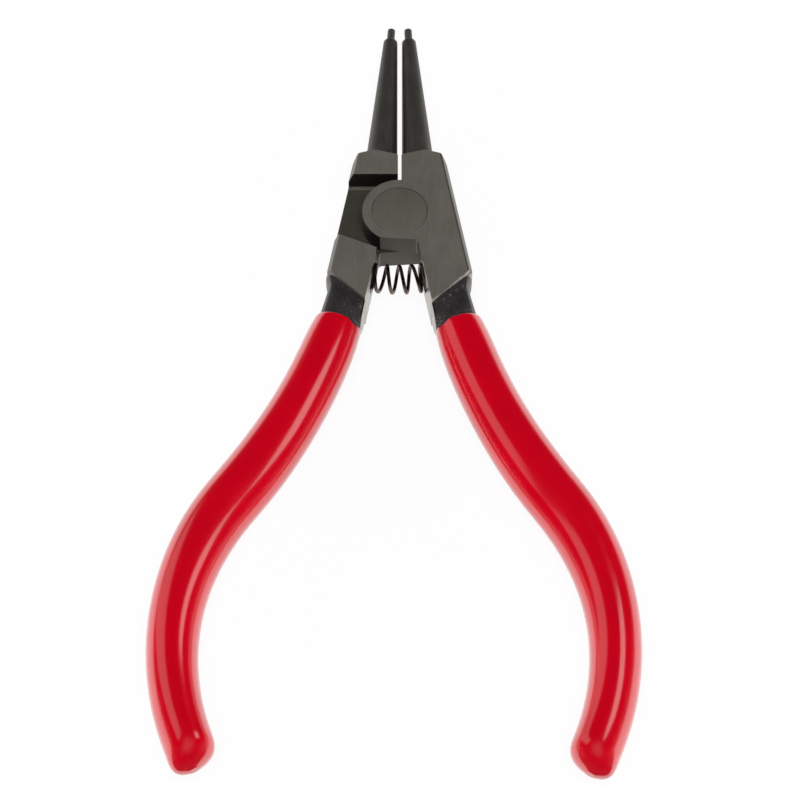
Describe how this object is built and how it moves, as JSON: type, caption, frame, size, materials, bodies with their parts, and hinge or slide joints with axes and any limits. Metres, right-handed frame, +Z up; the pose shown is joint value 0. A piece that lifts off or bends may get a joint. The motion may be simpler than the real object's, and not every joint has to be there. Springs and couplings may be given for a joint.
{
  "type": "circlip pliers",
  "caption": "Circlip pliers for external rings: straight round jaws with tip pins, a riveted lap joint, a return spring and bowed handles in a glossy dipped coating.",
  "frame": {"origin": "the pivot axis, on the plane that the tool lies flat on", "axes": "+Y towards the jaw tips, -Y towards the handles, +X towards the right lever, +Z up out of the resting plane along the pivot axis"},
  "size_m": [0.0762, 0.1406, 0.008],
  "materials": {
    "steel": "forged tool steel, ground faces and blackened tangs",
    "rivet_steel": "ground flush",
    "pin_steel": "turned, oiled",
    "spring_steel": "dark oiled spring wire",
    "red_coating": "glossy dipped vinyl"
  },
  "bodies": {
    "left_half": {"left_lever": "steel", "left_grip": "red_coating", "left_tip_pin": "pin_steel", "pivot_rivet": "rivet_steel", "return_spring": "spring_steel"},
    "right_half": {"right_lever": "steel", "right_grip": "red_coating", "right_tip_pin": "pin_steel"}
  },
  "joints": [
    {"name": "squeeze", "type": "hinge", "parent": "left_half", "child": "right_half", "pos_m": [0, 0, 0.004], "axis": [0, 0, -1], "range_deg": [-0.8, 22], "stiffness_Nm_per_rad": 0.2, "deforming": ["return_spring"]}
  ]
}
